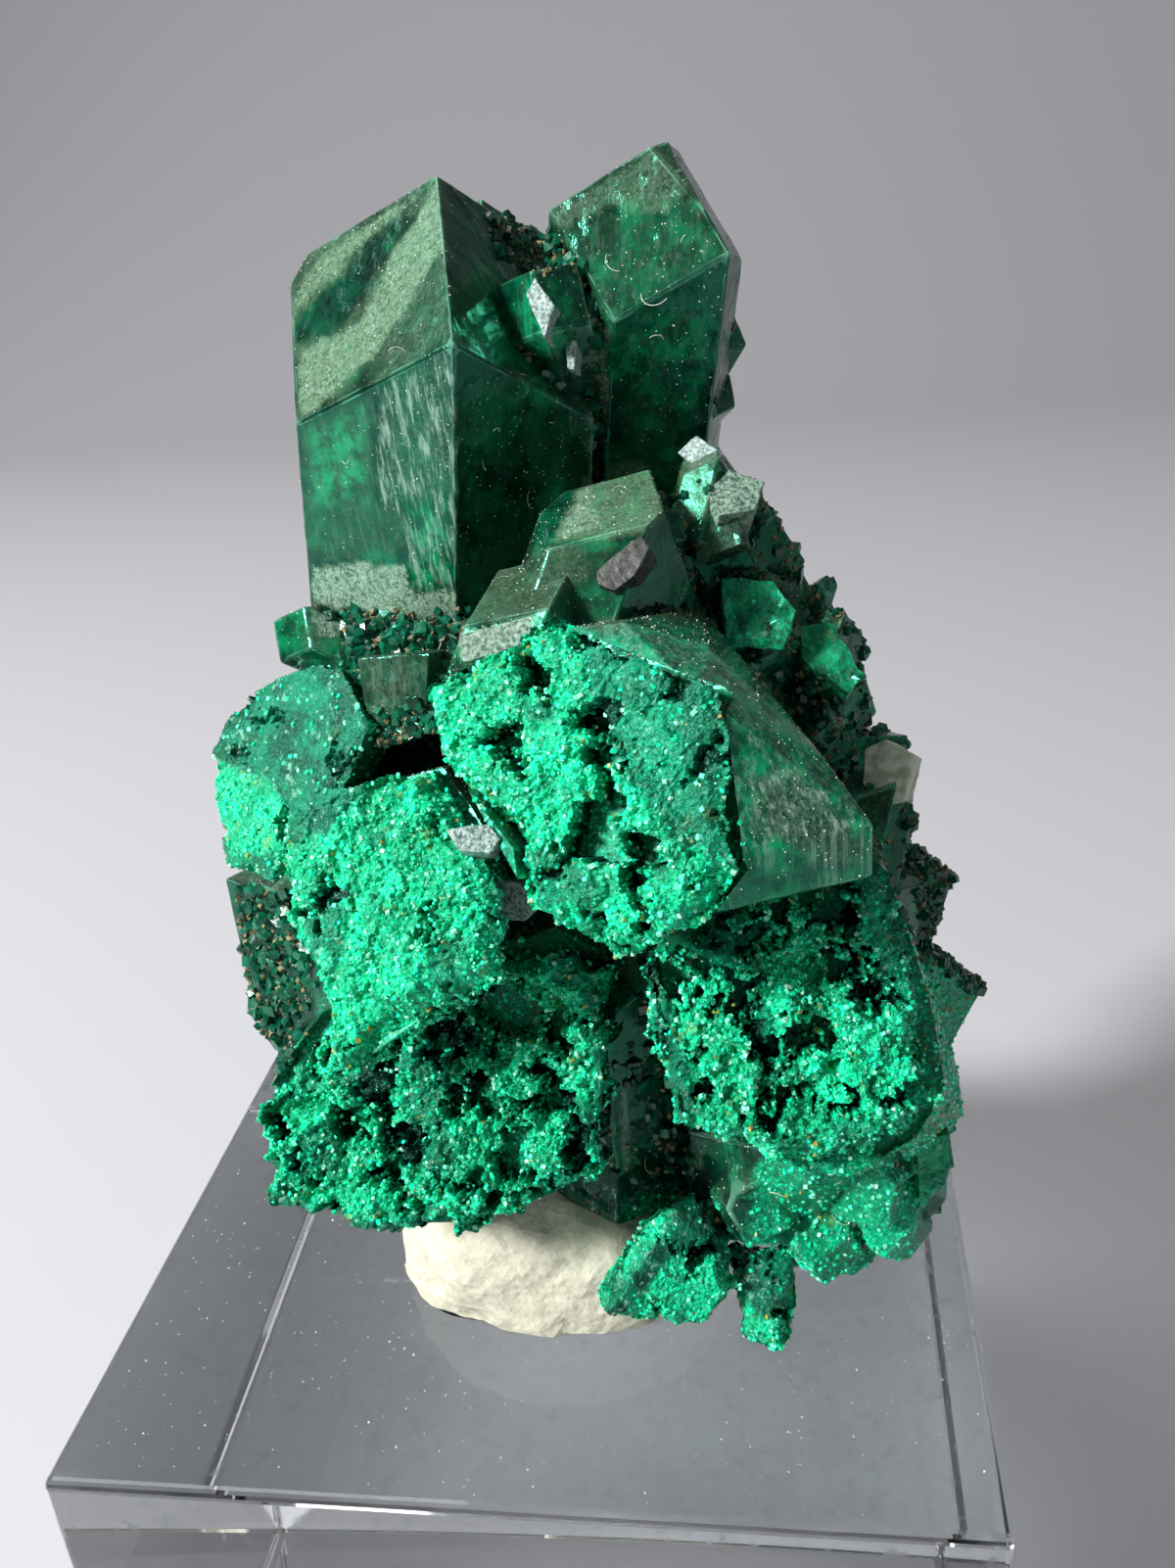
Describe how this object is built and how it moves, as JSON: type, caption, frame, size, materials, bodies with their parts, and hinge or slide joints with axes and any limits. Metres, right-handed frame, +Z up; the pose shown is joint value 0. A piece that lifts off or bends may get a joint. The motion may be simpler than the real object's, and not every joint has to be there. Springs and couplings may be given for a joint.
{
  "type": "dioptase crystal specimen",
  "caption": "Cluster of emerald-green dioptase crystals, tall clear spires over etched crystals, held upright by a lump of putty on a clear square display block.",
  "frame": {"origin": "centre of the display block's flat underside", "axes": "+Z up, -Y towards the viewer of the picture, +X to the viewer's right"},
  "size_m": [0.0391, 0.0382, 0.0725],
  "materials": {
    "dioptase": "emerald green, clear and glossy inside, with dusty end faces and a bright etched crust",
    "putty": "cream-white mineral tack, matte, pressed by hand, with a few fibres stuck in it",
    "acrylic": "clear polished acrylic, lightly scratched and dusty"
  },
  "bodies": {
    "root": {"dioptase_cluster": "dioptase", "putty_lump": "putty", "acrylic_block": "acrylic"}
  },
  "joints": []
}
